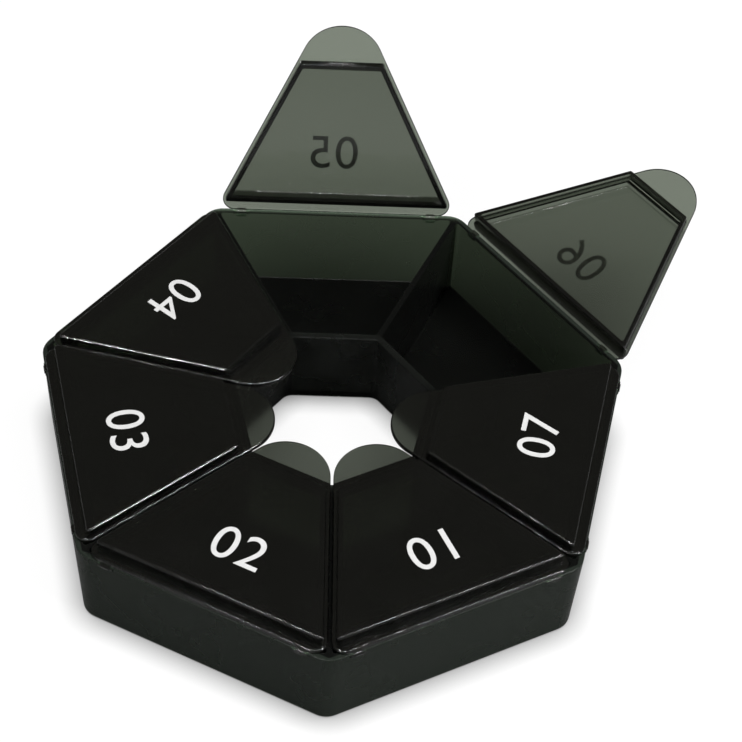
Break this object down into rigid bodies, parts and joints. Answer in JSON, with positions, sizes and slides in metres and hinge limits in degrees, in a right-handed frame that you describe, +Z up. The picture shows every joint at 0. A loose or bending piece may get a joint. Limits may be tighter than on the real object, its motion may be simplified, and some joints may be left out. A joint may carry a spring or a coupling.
{
  "type": "weekly pill box",
  "caption": "Heptagonal smoke-grey pill box with a ring of wedge wells round an open middle, each under its own hinged, raised lid with a finger tab.",
  "frame": {"origin": "centre of the seven-sided tray on the surface it stands on, under the open middle", "axes": "+Z up, -Y towards the tray's front corner, +X to the right of someone facing that corner; the lids are numbered clockwise from above, and lid_1 is at the front right"},
  "size_m": [0.1298, 0.1244, 0.0569],
  "materials": {
    "tray_plastic": "translucent smoke-grey moulded plastic, satin outside walls",
    "lid_plastic": "translucent smoke-grey moulded plastic, glossy, with a white printed numeral"
  },
  "bodies": {
    "tray": {"tray": "tray_plastic"},
    "lid_1": {"lid_1": "lid_plastic"},
    "lid_2": {"lid_2": "lid_plastic"},
    "lid_3": {"lid_3": "lid_plastic"},
    "lid_4": {"lid_4": "lid_plastic"},
    "lid_5": {"lid_5": "lid_plastic"},
    "lid_6": {"lid_6": "lid_plastic"},
    "lid_7": {"lid_7": "lid_plastic"}
  },
  "joints": [
    {"name": "lid_1_hinge", "type": "hinge", "parent": "tray", "child": "lid_1", "pos_m": [0.02259, -0.0469, 0.0188], "axis": [0.901, 0.4339, 0], "range_deg": [0, 166.5]},
    {"name": "lid_2_hinge", "type": "hinge", "parent": "tray", "child": "lid_2", "pos_m": [-0.02259, -0.0469, 0.0188], "axis": [0.901, -0.4339, 0], "range_deg": [0, 166.5]},
    {"name": "lid_3_hinge", "type": "hinge", "parent": "tray", "child": "lid_3", "pos_m": [-0.05075, -0.01158, 0.0188], "axis": [0.2225, -0.9749, 0], "range_deg": [0, 166.5]},
    {"name": "lid_4_hinge", "type": "hinge", "parent": "tray", "child": "lid_4", "pos_m": [-0.0407, 0.03246, 0.0188], "axis": [-0.6235, -0.7818, 0], "range_deg": [0, 166.5]},
    {"name": "lid_5_hinge", "type": "hinge", "parent": "tray", "child": "lid_5", "pos_m": [0, 0.05206, 0.0188], "axis": [-1, 0, 0], "range_deg": [-109.5, 57]},
    {"name": "lid_6_hinge", "type": "hinge", "parent": "tray", "child": "lid_6", "pos_m": [0.0407, 0.03246, 0.0188], "axis": [-0.6235, 0.7818, 0], "range_deg": [-166.5, 0]},
    {"name": "lid_7_hinge", "type": "hinge", "parent": "tray", "child": "lid_7", "pos_m": [0.05075, -0.01158, 0.0188], "axis": [0.2225, 0.9749, 0], "range_deg": [0, 166.5]}
  ]
}
